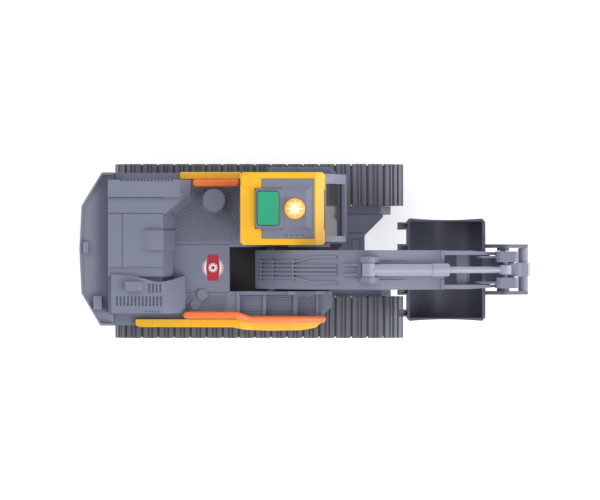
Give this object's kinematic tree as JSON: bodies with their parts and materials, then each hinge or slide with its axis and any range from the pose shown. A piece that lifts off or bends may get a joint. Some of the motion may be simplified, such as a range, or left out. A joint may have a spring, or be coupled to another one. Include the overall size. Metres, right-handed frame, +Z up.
{
  "type": "toy excavator",
  "caption": "Toy tracked excavator with slewing cab, working boom, stick and bucket, dummy cylinders, roof beacon and a spring-loaded sound button.",
  "frame": {"origin": "centre of the bounding box's footprint, on the floor under the wheels", "axes": "+X towards the bucket, +Y towards the cab side, +Z up"},
  "size_m": [0.2574, 0.1004, 0.1438],
  "materials": {
    "grey": "satin moulded polypropylene, blue-grey",
    "grey_dark": "satin moulded polypropylene, darker blue-grey",
    "track_grey": "matte moulded plastic",
    "bucket_grey": "satin moulded plastic",
    "pin_grey": "moulded nylon",
    "rod_grey": "polished plastic rod",
    "yellow": "glossy warm yellow ABS",
    "orange": "glossy orange plastic",
    "green": "satin green plastic",
    "amber": "transparent amber plastic",
    "smoked": "smoked transparent plastic",
    "led_clear": "clear epoxy lamp",
    "label": "printed vinyl label",
    "black": "black moulded plastic",
    "steel": "zinc-plated steel",
    "nickel": "nickel-plated spring steel",
    "cell_steel": "button cell can",
    "pcb": "glass-epoxy circuit board"
  },
  "bodies": {
    "undercarriage": {"undercarriage_frame": "grey_dark", "undercarriage_base_plate": "grey_dark", "undercarriage_screws": "steel", "left_track": "track_grey", "right_track": "track_grey", "left_track_frame": "grey_dark", "right_track_frame": "grey_dark", "left_track_inner_cover": "grey_dark", "right_track_inner_cover": "grey_dark"},
    "front_wheels": {"front_axle": "steel", "front_rollers": "black"},
    "rear_wheels": {"rear_axle": "steel", "rear_rollers": "black"},
    "house": {"house_floor": "grey_dark", "house_shell": "grey", "counterweight": "grey", "house_screws": "steel", "slew_retainer_washer": "black", "slew_retainer_screw": "steel", "battery_cover": "grey_dark", "button_cells": "cell_steel", "battery_contacts": "nickel", "speaker": "black", "right_side_panel": "yellow", "left_side_panel": "yellow", "right_handrail": "orange", "left_handrail": "orange", "deck_label": "label", "boom_pivot_pin": "pin_grey", "boom_cylinder_foot_pin": "pin_grey", "cab_frame": "grey", "cab_windows": "smoked", "cab_seat": "black", "cab_roof": "yellow", "roof_module_housing": "grey", "circuit_board": "pcb", "tact_switch": "black", "button_spring": "steel", "beacon_led": "led_clear", "beacon_lens": "amber"},
    "button": {"sound_button": "green"},
    "boom": {"boom_shell": "grey", "boom_underside_cover": "grey", "stick_cylinder_foot_pin": "pin_grey", "boom_cylinder_head_pin": "pin_grey"},
    "stick": {"stick_shell": "grey", "stick_back_cover": "grey", "stick_cylinder_head_pin": "pin_grey", "bucket_cylinder_head_pin": "pin_grey"},
    "bucket": {"bucket": "bucket_grey", "bucket_pivot_pin": "pin_grey", "bucket_link_bar": "pin_grey"},
    "stick_barrel": {"stick_cylinder_barrel": "grey", "stick_cylinder_gland": "grey"},
    "stick_rod": {"stick_cylinder_rod": "rod_grey"},
    "bucket_barrel": {"bucket_cylinder_barrel": "grey"},
    "bucket_rod": {"bucket_cylinder_rod": "rod_grey"},
    "boom_barrel": {"boom_cylinder_barrel": "grey"},
    "boom_rod": {"boom_cylinder_rod": "rod_grey"}
  },
  "joints": [
    {"name": "house_swing", "type": "hinge", "parent": "undercarriage", "child": "house", "pos_m": [-0.027, 0, 0.0385], "axis": [0, 0, 1], "continuous": true},
    {"name": "front_axle_spin", "type": "hinge", "parent": "undercarriage", "child": "front_wheels", "pos_m": [0.022, 0, 0.008], "axis": [0, 1, 0], "continuous": true},
    {"name": "rear_axle_spin", "type": "hinge", "parent": "undercarriage", "child": "rear_wheels", "pos_m": [-0.076, 0, 0.008], "axis": [0, 1, 0], "continuous": true},
    {"name": "boom_lift", "type": "hinge", "parent": "house", "child": "boom", "pos_m": [-0.02, -0.0105, 0.055], "axis": [0, -1, 0], "range_deg": [-12, 30]},
    {"name": "stick_swing", "type": "hinge", "parent": "boom", "child": "stick", "pos_m": [0.1005, -0.0105, 0.11], "axis": [0, -1, 0], "range_deg": [0, 50]},
    {"name": "bucket_curl", "type": "hinge", "parent": "stick", "child": "bucket", "pos_m": [0.1126, -0.0105, 0.062], "axis": [0, -1, 0], "range_deg": [0, 60]},
    {"name": "button_press", "type": "slide", "parent": "house", "child": "button", "axis": [0, 0, -1], "range_m": [0, 0.0012], "stiffness_N_per_m": 400, "springref_m": -0.001, "deforming": ["button_spring"]},
    {"name": "boom_barrel_tilt", "type": "hinge", "parent": "house", "child": "boom_barrel", "pos_m": [0.003, -0.0105, 0.0478], "axis": [0, -1, 0], "range_deg": [-13.82, 31.55]},
    {"name": "boom_rod_tilt", "type": "hinge", "parent": "boom", "child": "boom_rod", "pos_m": [0.027, -0.0105, 0.1015], "axis": [0, -1, 0], "range_deg": [-2.45, 2.18]},
    {"name": "stick_barrel_tilt", "type": "hinge", "parent": "boom", "child": "stick_barrel", "pos_m": [0.0348, -0.0105, 0.14], "axis": [0, -1, 0], "range_deg": [-2, 4.65]},
    {"name": "stick_rod_tilt", "type": "hinge", "parent": "stick", "child": "stick_rod", "pos_m": [0.1115, -0.0105, 0.1185], "axis": [0, -1, 0], "range_deg": [-49.35, 2]},
    {"name": "bucket_barrel_tilt", "type": "hinge", "parent": "stick", "child": "bucket_barrel", "pos_m": [0.1155, -0.0105, 0.11], "axis": [0, -1, 0], "range_deg": [-2, 4.46]},
    {"name": "bucket_rod_tilt", "type": "hinge", "parent": "bucket", "child": "bucket_rod", "pos_m": [0.1243, -0.0105, 0.0553], "axis": [0, -1, 0], "range_deg": [-59.54, 2]}
  ],
  "couplings": [
    {"joint": "boom_barrel_tilt", "follows": "boom_lift", "ratio": 0.985},
    {"joint": "boom_rod_tilt", "follows": "boom_lift", "ratio": -0.015},
    {"joint": "stick_barrel_tilt", "follows": "stick_swing", "ratio": 0.053},
    {"joint": "stick_rod_tilt", "follows": "stick_swing", "ratio": -0.947},
    {"joint": "bucket_barrel_tilt", "follows": "bucket_curl", "ratio": 0.041},
    {"joint": "bucket_rod_tilt", "follows": "bucket_curl", "ratio": -0.959}
  ]
}
